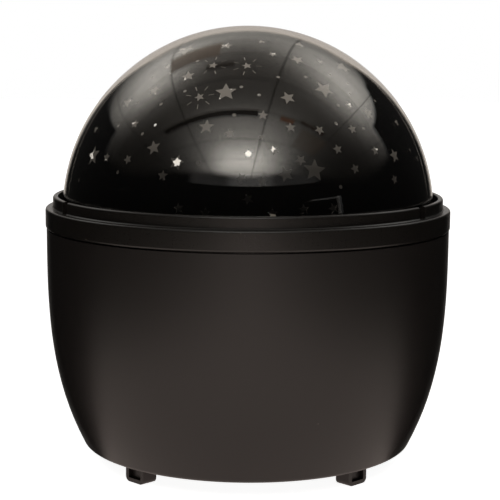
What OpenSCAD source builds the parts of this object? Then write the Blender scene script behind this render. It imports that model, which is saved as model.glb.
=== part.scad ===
// Star projector night light.
// A dark bowl on four feet carries a two-tier ring and a turning clear dome. A thin black
// mask inside the dome has star windows, lit from the dome's centre. A geared motor turns
// the dome through an internal ring gear. Three buttons and a power inlet are at the back,
// and four cells sit in a bay under the floor, behind a tabbed door.
// Millimetres, +Z up, origin at the centre of the plane that the feet stand on, front = -Y.

/* [Dome] */
// Outer radius of the clear dome
dome_r = 59.65; // [56:0.05:61]
// Thickness of the clear dome
shell_wall = 1.6; // [1.2:0.1:2]
// Thickness of the black star mask
mask_wall = 0.8; // [0.6:0.1:1]
// Gap between the dome and the mask
mask_gap = 0.15; // [0.1:0.05:0.3]
// How far the dome's centre stands above the bottom of the ring's band
dome_rise = 4.3; // [4:0.1:6]

/* [Star windows] */
// Point radius of the largest stars
star_xl = 4.1; // [3.6:0.1:4.4]
// Point radius of the large stars
star_l = 3.4; // [3:0.1:3.6]
// Point radius of the medium stars
star_m = 2.4; // [2.2:0.1:2.7]
// Point radius of the small stars
star_s = 1.65; // [1.4:0.05:1.8]
// Radius of the round dots
dot_r = 0.55; // [0.4:0.05:0.8]
// Notch radius of a star as a share of its point radius
star_waist = 0.46; // [0.38:0.01:0.55]

/* [Top ring] */
// Gap between the dome and the collar round it
dome_clear = 1.35; // [1:0.05:2]
// Wall of the collar
collar_wall = 1.6; // [1.2:0.1:2.4]
// Height of the collar above the band
collar_h = 3.7; // [2.5:0.1:5]
// Width of the ledge between the collar and the band's edge
ledge_w = 2.4; // [1.6:0.1:4]
// Height of the band
band_h = 6.3; // [5.5:0.1:9]
// Width of the three notches in the collar
notch_w = 3.5; // [2:0.1:6]
// Rounding of the ring's visible edges
edge_r = 0.7; // [0.3:0.1:0.9]
// Height of the shadow gap between ring and bowl
seam_h = 0.4; // [0.2:0.1:1]
// How far the band stands out past the bowl's rim
band_proud = 0.3; // [0:0.1:1]

/* [Bowl] */
// Height of the bowl from its underside to its rim
bowl_h = 70.2; // [66:0.2:90]
// How far the side curves in from rim to underside
bowl_draw = 11.9; // [8:0.1:13]
// Power of the side's curve: higher keeps the side upright for longer
side_power = 3.1; // [2.4:0.1:4]
// Wall of the bowl
bowl_wall = 2.4; // [2:0.1:3]
// Thickness of the bowl's floor
floor_t = 2.4; // [2.2:0.1:3.2]
// Rounding of the bowl's bottom edge
bottom_round = 2.4; // [1:0.1:4]

/* [Feet] */
// Height of the feet
foot_h = 5.6; // [4.8:0.1:8]
// Distance from the centre to a foot's outer face
foot_reach = 48.6; // [46:0.1:49]
// Width of a foot
foot_w = 8.2; // [7.6:0.1:11]
// Depth of a foot, measured along the radius
foot_d = 5.3; // [4:0.1:7]
// Rounding of a foot's lower corners
foot_round = 1.6; // [0.5:0.1:2]
// Width of the pocket in a foot's outer face
pocket_w = 5.4; // [3:0.1:6]
// Height of the pocket in a foot's outer face
pocket_h = 3.1; // [2:0.1:3.4]
// Depth of the pocket in a foot's outer face
pocket_d = 1.4; // [0.8:0.1:2]

/* [Drive] */
// Module of the ring gear and pinion
gear_module = 1.5; // [1.2:0.1:1.5]
// Teeth on the pinion
pinion_teeth = 10; // [10:1:14]
// Width of the gear teeth along the axis
gear_w = 4.8; // [4:0.1:5]
// Play between the teeth, measured round the pitch circle
backlash = 0.3; // [0.2:0.05:0.5]
// Radius of the gearbox shaft
shaft_r = 1.5; // [1.2:0.1:2]
// Radius of the gearbox
gearbox_r = 12; // [10:0.5:13]
// Height of the gearbox
gearbox_h = 9; // [7:0.5:12]
// Radius of the motor
motor_r = 10; // [7:0.5:10.5]
// Length of the motor
motor_h = 16; // [12:0.5:22]

/* [Deck] */
// Thickness of the deck plate
deck_t = 2.5; // [2:0.1:3]
// Height of the track wall that guides the turntable
track_h = 5.5; // [5.2:0.1:5.8]
// Thickness of the track wall
track_wall = 2.1; // [1.6:0.1:2.4]
// Radius of the posts that carry the deck
post_r = 3.5; // [3:0.1:4.5]
// Gap between a deck screw's head and the ring gear's teeth
post_gap = 3; // [2:0.5:4]

/* [Lamp] */
// Radius of the post that carries the lamp board
lamp_post_r = 5; // [4:0.1:7]
// Radius of the lamp board
lamp_board_r = 10; // [8:0.5:14]
// Radius of each lamp
led_r = 2.5; // [1.5:0.1:2.5]

/* [Batteries] */
// Radius of one cell
cell_r = 5.25; // [5:0.05:5.6]
// Length of one cell with its tip
cell_l = 44.5; // [43:0.1:46]
// Thickness of the battery door
door_t = 2; // [1.6:0.1:2]
// Width of the shelf that the door closes against
door_shelf = 3.2; // [3.1:0.1:3.6]

/* [Buttons and inlet] */
// Radius of a button
button_r = 4; // [3:0.1:4.5]
// Distance from one button to the next
button_pitch = 14; // [13:0.5:15]
// Drop from the deck's underside to the buttons' centres
button_drop = 12; // [10:0.5:14]
// Travel of a button
button_travel = 0.7; // [0.3:0.1:0.8]
// How far a button stands out of the housing
button_proud = 0.4; // [0.2:0.1:0.6]
// Height of the power inlet above the table
inlet_z = 20; // [19:0.5:30]
// Radius of the power inlet's bore
inlet_r = 2.75; // [2:0.05:3]

/* [Fits] */
// Radial clearance of a shaft or ring that turns in a bore
run_gap = 0.06; // [0.03:0.01:0.1]
// Clearance between parts that move past each other
move_gap = 0.3; // [0.2:0.05:0.4]
// Clearance between fixed parts
fix_gap = 0.15; // [0.1:0.05:0.2]

/* [Hidden] */
$fn = 96;
eps = 0.05;

// Levels, from the table up
floor_z = foot_h;
inside_z = floor_z + floor_t;
rim_z = floor_z + bowl_h;
band_z = rim_z + seam_h;
ledge_z = band_z + band_h;
collar_z = ledge_z + collar_h;
dome_z = band_z + dome_rise;

// Radii, from the dome out
shell_in_r = dome_r - shell_wall;
mask_r = shell_in_r - mask_gap;
mask_in_r = mask_r - mask_wall;
lip_r = dome_r + move_gap + eps;
collar_in_r = dome_r + dome_clear;
collar_r = collar_in_r + collar_wall;
band_r = collar_r + ledge_w;
bowl_r = band_r - band_proud;

// The dome's bottom edge stands on the turntable's flange, which turns under the ring's lip
skirt_drop = 2.7;
skirt_z = dome_z - skirt_drop;
flange_t = 1.4;
flange_r = dome_r + 0.7;
cavity_r = flange_r + 0.4;
lip_z = skirt_z + 0.4;
lip_t = 1.6;
turntable_r = mask_in_r - 0.1;
spigot_r = mask_in_r - 0.25;
spigot_h = 2.4;

// Deck: its underside rests on the posts, and the ring's skirt clamps its edge
flange_under_z = skirt_z - flange_t;
track_top_z = flange_under_z - 0.4;
deck_top_z = track_top_z - track_h;
deck_z = deck_top_z - deck_t;
deck_r = bowl_r - bowl_wall - 0.5;
track_in_r = turntable_r + run_gap;
skirt_r = deck_r + 0.3;

// Ring gear: as many teeth as fit inside the turntable's wall
turntable_wall = 2.4;
dedendum = 1.25;
pressure = 25;
pinion_addendum = 0.9;
ring_addendum = 0.6;
ring_teeth = floor((turntable_r - turntable_wall - dedendum * gear_module) * 2 / gear_module);
ring_pitch_r = ring_teeth * gear_module / 2;
pinion_pitch_r = pinion_teeth * gear_module / 2;
drive_x = ring_pitch_r - pinion_pitch_r;
gear_z = deck_top_z + 0.3;
flange_hub_r = ring_pitch_r + dedendum * gear_module;

// Battery bay under the floor
cell_count = 4;
cell_pitch = 2 * cell_r + 0.5;
plate_t = 0.4;
spring_l = 3.1;
spring_base_r = 0.65 * cell_r;
spring_tip_r = 0.42 * cell_r;
bay_x = (cell_l + spring_l + 2 * plate_t) / 2;
bay_y = (cell_count * cell_pitch + 1) / 2;
bay_wall = 1.6;
door_x = bay_x + door_shelf;
door_y = bay_y + door_shelf;
shelf_z = floor_z + door_t + 0.2;
shelf_t = 1.8;
bay_top_z = shelf_z + 2 * cell_r + 1.7;
cell_z = floor_z + door_t + 0.4 + cell_r;
tab_l = 3;
tab_t = 1;
tab_w = 8;
tab_y = 12;
tab_swing = 1.5;
tongue_w = 12;
tongue_t = 1.2;
tongue_in = 0.1;

// Control board and its buttons, at the back
board_t = 1.6;
board_w = 48;
board_h = 24;
board_gap = 2;
board_z = deck_z - board_gap - board_h;
button_z = deck_z - button_drop;
chip_w = 10;
chip_h = 5;
chip_t = 1.7;
cap_r = 3;
cap_h = 7;
switch_body = 3.5;
switch_tip = 1.2;
stem_r = 1.6;
button_flange = 1.1;
button_flange_r = button_r + 1.1;
guide_y = bowl_r - bowl_wall - 3.4;
button_flange_y = guide_y - 0.1 - button_flange;
switch_gap = 0.1;
stem_l = 2.4;
switch_tip_y = button_flange_y - stem_l - button_travel - switch_gap;
board_y = switch_tip_y - switch_tip - switch_body - board_t;
rail_t = 2.6;
rail_grip = 1.3;

// Power inlet, under the buttons
jack_w = 9;
jack_h = 11;
jack_l = 12;
jack_nose_r = 4;
inlet_face_y = side_r(inlet_z - 5.5) - 0.7;
inlet_pad_y = inlet_face_y - 3;

// A screw with a domed head, used for the deck and the motor
screw_r = 1.3;
screw_head_r = 2.6;
screw_head_h = 1.5;
screw_bite = 7;
screw_spare = 2;
post_reach = ring_pitch_r - ring_addendum * gear_module - screw_head_r - post_gap;

// Outer radius of the bowl's side at height z
function side_r(z) = bowl_r - bowl_draw * pow(max(0, rim_z - z) / bowl_h, side_power);

// Points along an arc about (x, y), from angle a to angle b
function arc(x, y, r, a, b, n = 5) =
    [for (i = [0:n]) [x + r * cos(a + (b - a) * i / n), y + r * sin(a + (b - a) * i / n)]];

// ---------------------------------------------------------------- bowl and feet

// Angle of the side from upright where it meets the floor
lean = atan(side_power * bowl_draw / bowl_h);

// Half section of the bowl's outside, moved in by inset and up by lift
function bowl_section(inset, lift) = let (
    r0 = bowl_r - bowl_draw - inset,
    z0 = floor_z + lift,
    reach = bottom_round * tan((90 - lean) / 2),
    steps = 18,
    start = (reach * cos(lean) + lift) / bowl_h
) concat(
    [[0, z0]],
    arc(r0 + lift * tan(lean) - reach, z0 + bottom_round, bottom_round, -90, -lean, 6),
    [for (i = [1:steps]) let (t = start + (1 - start) * i / steps, z = floor_z + t * bowl_h)
        [side_r(z) - inset, z]],
    [[0, rim_z]]
);

module bowl_envelope(inset = 0, lift = 0) {
    rotate_extrude() polygon(bowl_section(inset, lift));
}

// A foot's outline seen along the radius: rounded below, flared into the floor above
module foot_outline() {
    flare = 1.2;
    half = foot_w / 2;
    polygon(concat(
        arc(-half + foot_round, foot_round, foot_round, 180, 270),
        arc(half - foot_round, foot_round, foot_round, 270, 360),
        arc(half + flare, foot_h - flare, flare, 180, 90),
        [[half + flare, foot_h + floor_t / 2], [-half - flare, foot_h + floor_t / 2]],
        arc(-half - flare, foot_h - flare, flare, 90, 0)
    ));
}

module foot() {
    difference() {
        translate([foot_reach - foot_d, 0, 0]) rotate([90, 0, 90])
            linear_extrude(foot_d) foot_outline();
        translate([foot_reach - pocket_d, -pocket_w / 2, (foot_h - pocket_h) / 2])
            cube([pocket_d + 1, pocket_w, pocket_h]);
    }
}

module at_quarters() {
    for (a = [45:90:315]) rotate([0, 0, a]) children();
}

// A post with two gussets, from the floor to the deck, with a screw hole in its top
module deck_post() {
    translate([post_reach, 0, inside_z - eps]) cylinder(r = post_r, h = deck_z - inside_z + eps);
    rib_h = 26;
    rib_t = 1.4;
    translate([post_reach, 0, inside_z - eps]) rotate([90, 0, 0]) translate([0, 0, -rib_t / 2])
        linear_extrude(rib_t) polygon([[0, 0], [-post_r - 4, 0], [-post_r + 1, rib_h], [0, rib_h]]);
}

module post_hole() {
    depth = screw_bite + screw_spare;
    translate([post_reach, 0, deck_z - depth]) cylinder(r = screw_r + 0.05, h = depth + 1);
}

// Bay walls and roof over the cells, with the shelf that the door closes against
module battery_bay() {
    reach = 2.3;
    translate([-door_x - reach, -door_y - reach, shelf_z])
        cube([2 * (door_x + reach), 2 * (door_y + reach), shelf_t]);
    translate([-bay_x - bay_wall, -bay_y - bay_wall, shelf_z])
        cube([2 * (bay_x + bay_wall), 2 * (bay_y + bay_wall), bay_top_z + bay_wall - shelf_z]);
}

module battery_bay_hollow() {
    door_gap = move_gap;
    translate([-bay_x, -bay_y, floor_z]) cube([2 * bay_x, 2 * bay_y, bay_top_z - floor_z]);
    translate([-door_x - door_gap, -door_y - door_gap, floor_z - 1])
        cube([2 * (door_x + door_gap), 2 * (door_y + door_gap), 1 + shelf_z - floor_z]);
    // Slots that the door's two tabs go into, open above so that they can swing
    for (y = [-tab_y, tab_y])
        translate([-door_x - tab_l - 0.5, y - tab_w / 2 - move_gap, floor_z + door_t - tab_t - 0.2])
            cube([tab_l + 0.5 + tab_swing, tab_w + 2 * move_gap, shelf_t + tab_t + 1]);
    // Slot for the latch tongue, and the thumb scoop beside it
    translate([door_x - tongue_in - tongue_t - move_gap, -tongue_w / 2 - move_gap, shelf_z - eps])
        cube([tongue_t + tongue_in + 2 * move_gap + 0.2, tongue_w + 2 * move_gap, shelf_t + 2 * eps]);
    translate([door_x, 0, floor_z - eps]) cylinder(r = 7, h = 1.2 + eps);
    // Slits for the two end contacts' solder tabs
    for (s = [-1, 1]) translate([bay_x - eps, s * 1.5 * cell_pitch - 2.1, cell_z + 2.9])
        cube([bay_wall + 2 * eps, 4.2, 0.8]);
}

module button_guide(x) {
    translate([x, guide_y, button_z]) rotate([-90, 0, 0])
        cylinder(r = button_flange_r + 0.9, h = bowl_r - guide_y);
}

module button_hole(x) {
    translate([x, guide_y - 1, button_z]) rotate([-90, 0, 0])
        cylinder(r = button_r + move_gap, h = bowl_r);
}

// Slotted rails that the control board's edges slide into
module board_rails() {
    lip = 1.8;
    for (side = [0, 1]) mirror([side, 0, 0]) difference() {
        translate([board_w / 2 - rail_grip, board_y - lip, board_z - lip])
            cube([rail_t, bowl_r - board_y, board_h + lip]);
        translate([board_w / 2 - rail_grip - 1, board_y - fix_gap, board_z])
            cube([rail_grip + 1 + fix_gap, board_t + 2 * fix_gap, board_h + 1]);
    }
}

// Flat pad behind the inlet, with two cheeks that hold the jack
module inlet_pad() {
    translate([-jack_w / 2 - 2, inlet_pad_y, inlet_z - jack_h / 2 - 2])
        cube([jack_w + 4, bowl_r - inlet_pad_y, jack_h + 4]);
    for (s = [-1, 1])
        translate([s * (jack_w / 2 + fix_gap + 0.7) - 0.7, inlet_pad_y - jack_l + 3, inlet_z - jack_h / 2])
            cube([1.4, jack_l - 3 + eps, jack_h - 1]);
}

module base_housing() {
    color([0.16, 0.15, 0.14]) difference() {
        union() {
            difference() {
                bowl_envelope();
                bowl_envelope(bowl_wall, floor_t);
                translate([0, 0, rim_z - 1]) cylinder(r = bowl_r - bowl_wall, h = 2);
            }
            intersection() {
                bowl_envelope(0.6, 0.6);
                union() {
                    for (x = [-button_pitch, 0, button_pitch]) button_guide(x);
                    board_rails();
                    inlet_pad();
                    battery_bay();
                    at_quarters() deck_post();
                }
            }
            at_quarters() foot();
        }
        battery_bay_hollow();
        at_quarters() post_hole();
        for (x = [-button_pitch, 0, button_pitch]) button_hole(x);
        translate([0, inlet_face_y, inlet_z]) rotate([-90, 0, 0]) cylinder(r = 5.2, h = 20);
        translate([0, inlet_pad_y - 1, inlet_z]) rotate([-90, 0, 0])
            cylinder(r = jack_nose_r + fix_gap, h = 20);
        snap_groove();
    }
}

// Groove inside the bowl's rim that the ring's snap beads click into
snap_z = rim_z - 3;
module snap_groove() {
    rotate_extrude() translate([bowl_r - bowl_wall - 0.5, snap_z - 0.9]) square([1.1, 1.8]);
}

// ---------------------------------------------------------------- top ring

module ring_section() {
    step_r = bowl_r - 0.9;
    polygon(concat(
        [[cavity_r, deck_top_z], [skirt_r, deck_top_z], [skirt_r, rim_z], [step_r, rim_z], [step_r, band_z]],
        arc(band_r - edge_r, band_z + edge_r, edge_r, -90, 0),
        arc(band_r - edge_r, ledge_z - edge_r, edge_r, 0, 90),
        [[collar_r + 0.3, ledge_z], [collar_r, ledge_z + 0.3]],
        arc(collar_r - edge_r, collar_z - edge_r, edge_r, 0, 90),
        arc(collar_in_r + 0.4, collar_z - 0.4, 0.4, 90, 180, 3),
        [[collar_in_r, lip_z + lip_t], [lip_r, lip_z + lip_t], [lip_r, lip_z], [cavity_r, lip_z]]
    ));
}

module top_ring() {
    notch_turn = -3;
    bead_turn = 30;
    color([0.17, 0.16, 0.15]) union() {
        difference() {
            rotate_extrude() ring_section();
            for (a = [-60, 60, 180]) rotate([0, 0, a + notch_turn - 90])
                translate([collar_in_r - 1, -notch_w / 2, ledge_z])
                    cube([collar_wall + 2, notch_w, collar_h + 1]);
        }
        for (a = [0:60:300]) rotate([0, 0, a + bead_turn])
            translate([skirt_r - 0.4, -4, snap_z - 0.6]) cube([0.7, 8, 1.2]);
    }
}

// ---------------------------------------------------------------- dome and mask

module dome_bowl(r) {
    difference() {
        translate([0, 0, dome_z]) sphere(r = r, $fn = 128);
        translate([-2 * r, -2 * r, dome_z - skirt_drop - 4 * r]) cube(4 * r);
    }
}

module dome_shell() {
    color([0.75, 0.73, 0.7, 0.5]) difference() {
        dome_bowl(dome_r);
        translate([0, 0, dome_z]) sphere(r = shell_in_r, $fn = 128);
    }
}

module star_shape(r) {
    polygon([for (i = [0:9]) let (q = i % 2 == 0 ? r : r * star_waist)
        [-q * cos(i * 36), q * sin(i * 36)]]);
}

// Puts a cutter on the mask at an azimuth from the front and a height angle, turned by turn
module on_mask(az, el, turn = 0) {
    depth = mask_wall + 2;
    translate([0, 0, dome_z]) rotate([0, 90 - el, az - 90]) translate([0, 0, mask_r - mask_wall - 1])
        rotate([0, 0, turn]) linear_extrude(depth) children();
}

// A small star with dashes that radiate from it
module burst_shape() {
    star_shape(star_s);
    for (i = [0:6]) rotate([0, 0, i * 360 / 7 + 26]) translate([star_s + 1, -0.13]) square([1.7, 0.26]);
}

// Front windows: azimuth, height angle, turn
stars_xl = [[-45, 62, 2]];
stars_l = [[-9, 43, 6], [54, 53, 24], [32, 44, 20], [20, 18, -8], [-58, 20, 14]];
stars_m = [
    [-16, 65, 0], [40, 66, 30], [27, 57, 12], [-28, 49, 22], [-41, 43, 10], [-52, 38, 8], [15, 41, 16],
    [-14, 31, 2], [-31, 24, 20], [-22, 20, -12], [48, 35, 0], [11, 17, 18], [53, 21, 10]
];
stars_s = [
    [10, 68, 0], [14, 60, 20], [41, 56, 0], [40, 38, 14], [-42, 31, 8], [5, 35, -6], [-6, 29, 12],
    [14, 31, 0], [24, 30, 24], [37, 30, 6], [0, 23, 0], [8, 24, 20], [29, 24, 10], [44, 23, 0],
    [16, 21, 30], [34, 18, 16], [4, 15, 8], [-2, 16, 26], [-26, 16, 0], [70, 19, 12], [-20, 7, 10],
    [-12, 6, 0], [0, 10, 24], [16, 7, 6], [25, 7, 18], [7, 6, 6], [-64, 28, 0], [64, 31, 8],
    [-40, 20, 30], [50, 14, 14], [-44, 53, 16], [-50, 20, 4]
];
bursts = [[-18, 54, 0], [-1, 54, 12], [-19, 41, 30]];
dots = [
    [-39, 50], [-34, 38], [-46, 38], [-28, 56], [-48, 48], [-5, 35], [4, 28], [-15, 20], [26, 70],
    [4, 42], [13, 49], [26, 49], [40, 50], [47, 46], [31, 32], [28, 13], [-37, 28], [-33, 31],
    [-17, 72], [-26, 43], [-3, 45], [-50, 30], [44, 42], [35, 38], [57, 39], [42, 30], [65, 22],
    [-43, 16], [-64, 12]
];

// Back windows that line up with front ones when seen from the front and a little above
stars_through = [
    [207, 12, star_m], [254, 17, star_l], [205, 70, star_m], [248, 66, star_l], [161, 63, star_s],
    [171, 17, star_s], [180, 15, star_m], [131, 36, star_s], [125, 19, star_s], [232, 28, star_s],
    [188, 43, star_s], [194, 38, star_s]
];

// The other windows round the sides and back, spread evenly by the golden ratio
back_count = 66;
back_from = 78;
back_span = 206;
back_apart = 8;
golden = 0.618034;
function back_el(k) = asin(0.1 + 0.86 * (k + 0.5) / back_count);
function back_az(k) = back_from + back_span * (k * golden - floor(k * golden));
function on_sphere(az, el) = mask_r * [sin(az) * cos(el), -cos(az) * cos(el), sin(el)];
function apart(k) = min([for (s = stars_through)
    norm(on_sphere(back_az(k), back_el(k)) - on_sphere(s[0], s[1]))]) > back_apart;

module windows() {
    for (s = stars_xl) on_mask(s[0], s[1], s[2]) star_shape(star_xl);
    for (s = stars_l) on_mask(s[0], s[1], s[2]) star_shape(star_l);
    for (s = stars_m) on_mask(s[0], s[1], s[2]) star_shape(star_m);
    for (s = stars_s) on_mask(s[0], s[1], s[2]) star_shape(star_s);
    for (s = bursts) on_mask(s[0], s[1], s[2]) burst_shape();
    for (s = dots) on_mask(s[0], s[1]) circle(r = dot_r, $fn = 16);
    for (s = stars_through) on_mask(s[0], s[1], s[0]) star_shape(s[2]);
    for (k = [0:back_count - 1]) if (apart(k)) on_mask(back_az(k), back_el(k), k * 47) {
        if (k % 11 == 5) burst_shape();
        else if (k % 9 == 4) star_shape(star_l);
        else if (k % 3 == 1) star_shape(star_m);
        else star_shape(star_s);
    }
    for (k = [0:2:back_count - 2]) if (apart(k + 0.5)) on_mask(back_az(k + 0.5), back_el(k + 0.5))
        circle(r = dot_r, $fn = 16);
}

module star_mask() {
    color([0.05, 0.05, 0.05]) difference() {
        dome_bowl(mask_r);
        translate([0, 0, dome_z]) sphere(r = mask_in_r, $fn = 128);
        windows();
    }
}

// ---------------------------------------------------------------- turntable and gears

// Involute of an angle, in degrees
function inv(a) = tan(a) * 180 / PI - a;

// Half the angle that a tooth fills at radius r; pitch radius rp, teeth n, thinned by thin mm
function half_tooth(r, rp, n, thin) = 90 / n - thin / rp * 90 / PI + inv(pressure)
    - inv(acos(min(1, rp * cos(pressure) / r)));

// Outline of a gear with n teeth, one of them centred on +X, from root radius to tip radius
function gear_outline(n, root_r, tip_r, thin) = let (rp = n * gear_module / 2, steps = 4)
    [for (k = [0:n - 1]) for (side = [-1, 1]) for (i = [0:steps])
        let (f = side < 0 ? i / steps : 1 - i / steps,
             r = root_r + (tip_r - root_r) * f,
             a = k * 360 / n + side * half_tooth(r, rp, n, thin))
        [r * cos(a), r * sin(a)]];

// The spaces between the ring's inner teeth, wider than the pinion's teeth by the backlash
module ring_spaces() {
    polygon(gear_outline(ring_teeth, ring_pitch_r - ring_addendum * gear_module,
        ring_pitch_r + dedendum * gear_module, -backlash / 2));
}

module turntable_ring() {
    lift = 0.1;
    color([0.12, 0.12, 0.12]) union() {
        translate([0, 0, deck_top_z + lift]) linear_extrude(gear_w) difference() {
            circle(r = turntable_r);
            ring_spaces();
        }
        rotate_extrude() polygon([
            [flange_hub_r - 1.4, deck_top_z + lift + gear_w], [turntable_r, deck_top_z + lift + gear_w],
            [turntable_r, flange_under_z], [flange_r, flange_under_z], [flange_r, skirt_z],
            [spigot_r, skirt_z], [spigot_r, skirt_z + spigot_h], [spigot_r - 1.6, skirt_z + spigot_h],
            [spigot_r - 1.6, skirt_z], [flange_hub_r - 1.4, flange_under_z]
        ]);
    }
}

module drive_pinion() {
    hub_r = 3.4;
    color([0.9, 0.88, 0.8]) translate([drive_x, 0, 0]) union() {
        translate([0, 0, gear_z]) linear_extrude(gear_w - 0.4)
            polygon(gear_outline(pinion_teeth, pinion_pitch_r - dedendum * gear_module,
                pinion_pitch_r + pinion_addendum * gear_module, backlash / 2));
        translate([0, 0, gear_z + gear_w - 0.4 - eps]) cylinder(r = hub_r, h = 1);
        translate([0, 0, deck_z - gearbox_h + 2.5]) cylinder(r = shaft_r, h = gearbox_h + deck_t + gear_w);
    }
}

// ---------------------------------------------------------------- deck, motor and lamp

boss_r = 3.4;
ear_y = gearbox_r + 2.5;
ear_t = 2;
module deck_plate() {
    rib_r = 30;
    color([0.13, 0.13, 0.13]) difference() {
        union() {
            translate([0, 0, deck_z]) cylinder(r = deck_r, h = deck_t);
            translate([0, 0, deck_top_z - eps]) difference() {
                cylinder(r = track_in_r + track_wall, h = track_h + eps);
                translate([0, 0, -1]) cylinder(r = track_in_r, h = track_h + 2);
            }
            translate([0, 0, deck_top_z - eps]) cylinder(r = lamp_post_r + 2, h = 2 + eps);
            // Stiffening ring and spokes under the plate
            translate([0, 0, deck_z - 2]) difference() {
                cylinder(r = rib_r, h = 2 + eps);
                translate([0, 0, -1]) cylinder(r = rib_r - 1.4, h = 4);
            }
            for (a = [90:60:270]) rotate([0, 0, a]) translate([9, -0.7, deck_z - 2])
                cube([rib_r - 9.5, 1.4, 2 + eps]);
        }
        translate([0, 0, deck_top_z]) cylinder(r = lamp_post_r + fix_gap, h = 4);
        translate([0, 0, deck_z - 1]) cylinder(r = lamp_post_r - 1.6, h = 8);
        translate([drive_x, 0, deck_z - 3]) cylinder(r = boss_r + fix_gap, h = deck_t + 4);
        at_quarters() translate([post_reach, 0, deck_z - 1]) cylinder(r = screw_r + 0.2, h = deck_t + 2);
        for (s = [-1, 1]) translate([drive_x, s * ear_y, deck_z - 3])
            cylinder(r = screw_r + 0.2, h = deck_t + 4);
    }
}

module screw(length) {
    translate([0, 0, -length]) cylinder(r = screw_r, h = length);
    difference() {
        cylinder(r = screw_head_r, h = screw_head_h);
        for (a = [0, 90]) rotate([0, 0, a])
            translate([-0.6 * screw_head_r, -0.12 * screw_head_r, screw_head_h / 2])
                cube([1.2 * screw_head_r, 0.24 * screw_head_r, screw_head_h]);
    }
}

module deck_screws() {
    color([0.7, 0.7, 0.72]) at_quarters() translate([post_reach, 0, deck_top_z])
        screw(deck_t + screw_bite);
}

module motor_screws() {
    color([0.7, 0.7, 0.72]) for (s = [-1, 1]) translate([drive_x, s * ear_y, deck_top_z])
        screw(deck_t + ear_t + 1);
}

module gearbox() {
    color([0.92, 0.9, 0.84]) translate([drive_x, 0, 0]) difference() {
        union() {
            translate([0, 0, deck_z - gearbox_h]) cylinder(r = gearbox_r, h = gearbox_h);
            translate([0, 0, deck_z - eps]) cylinder(r = boss_r, h = deck_t + eps);
            // Two ears that the motor screws pass through
            for (s = [-1, 1]) translate([0, s * ear_y, deck_z - ear_t]) cylinder(r = 3.4, h = ear_t);
            translate([-3.4, -ear_y, deck_z - ear_t]) cube([6.8, 2 * ear_y, ear_t]);
        }
        translate([0, 0, deck_z - gearbox_h + 2.5 - move_gap])
            cylinder(r = shaft_r + run_gap, h = gearbox_h + deck_t);
        for (s = [-1, 1]) translate([0, s * ear_y, deck_z - 5.5]) cylinder(r = screw_r + 0.05, h = 7);
    }
}

// Motor can with two flats and two terminals, under the gearbox
module motor() {
    can_z = deck_z - gearbox_h - motor_h;
    flat = motor_r * 0.78;
    color([0.72, 0.72, 0.74]) translate([drive_x, 0, can_z]) union() {
        intersection() {
            cylinder(r = motor_r, h = motor_h);
            translate([-flat, -motor_r, 0]) cube([2 * flat, 2 * motor_r, motor_h]);
        }
        translate([0, 0, -1.5]) cylinder(r = 3, h = 1.5 + eps);
        for (s = [-1, 1]) translate([-0.3, s * motor_r * 0.62 - 1.1, -3]) cube([0.6, 2.2, 3 + eps]);
    }
}

lamp_post_top = dome_z - 2.6;
module lamp_post() {
    color([0.13, 0.13, 0.13]) difference() {
        union() {
            translate([0, 0, deck_top_z]) cylinder(r = lamp_post_r, h = lamp_post_top - deck_top_z);
            translate([0, 0, lamp_post_top - 1.6]) cylinder(r = lamp_board_r - 1.5, h = 1.6);
        }
        translate([0, 0, deck_top_z - 1]) cylinder(r = lamp_post_r - 1.6, h = lamp_post_top);
    }
}

lamp_board_t = 1.2;
led_ring_r = lamp_board_r - led_r - 1.8;
led_h = 3.2;
led_rim = 0.35;
led_rim_h = 1;
module lamp_board() {
    color([0.93, 0.93, 0.9]) translate([0, 0, lamp_post_top]) difference() {
        cylinder(r = lamp_board_r, h = lamp_board_t);
        for (y = [-1.4, 1.4]) translate([0, y, -1]) cylinder(r = 0.7, h = 4);
    }
}

// Four domed lamps on the board: one of each colour
module dome_lamps() {
    color([0.95, 0.9, 0.75]) at_quarters() translate([led_ring_r, 0, lamp_post_top + lamp_board_t]) {
        cylinder(r = led_r + led_rim, h = led_rim_h);
        cylinder(r = led_r, h = led_h);
        translate([0, 0, led_h]) intersection() {
            sphere(r = led_r);
            translate([-2 * led_r, -2 * led_r, 0]) cube(4 * led_r);
        }
    }
}

// ---------------------------------------------------------------- controls

module control_board() {
    color([0.1, 0.35, 0.2]) union() {
        translate([-board_w / 2, board_y, board_z]) cube([board_w, board_t, board_h]);
        // Chip and two capacitors on the inner face
        translate([-chip_w / 2, board_y - chip_t, board_z + board_h / 3])
            cube([chip_w, chip_t + eps, chip_h]);
        for (s = [-1, 1]) translate([s * 0.28 * board_w, board_y + eps, board_z + 0.42 * board_h])
            rotate([90, 0, 0]) cylinder(r = cap_r, h = cap_h);
    }
}

module tact_switches() {
    half = 3;
    color([0.2, 0.2, 0.21]) for (x = [-button_pitch, 0, button_pitch])
        translate([x, board_y + board_t, button_z]) {
            translate([-half, 0, -half]) cube([2 * half, switch_body, 2 * half]);
            translate([0, switch_body - eps, 0]) rotate([-90, 0, 0]) cylinder(r = 1.75, h = switch_tip + eps);
        }
}

// A button follows the housing's curve on its face, and a flange inside keeps it in
module push_button(x) {
    intersection() {
        bowl_envelope(-button_proud, 0);
        translate([x, 0, button_z]) rotate([-90, 0, 0]) union() {
            translate([0, 0, button_flange_y - stem_l]) cylinder(r = stem_r, h = stem_l + eps);
            translate([0, 0, button_flange_y]) cylinder(r = button_flange_r, h = button_flange);
            translate([0, 0, button_flange_y + button_flange - eps]) cylinder(r = button_r, h = 30);
        }
    }
}

module light_button() {
    color([0.22, 0.21, 0.2]) push_button(-button_pitch);
}

module colour_button() {
    color([0.22, 0.21, 0.2]) push_button(0);
}

module spin_button() {
    color([0.22, 0.21, 0.2]) push_button(button_pitch);
}

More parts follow.
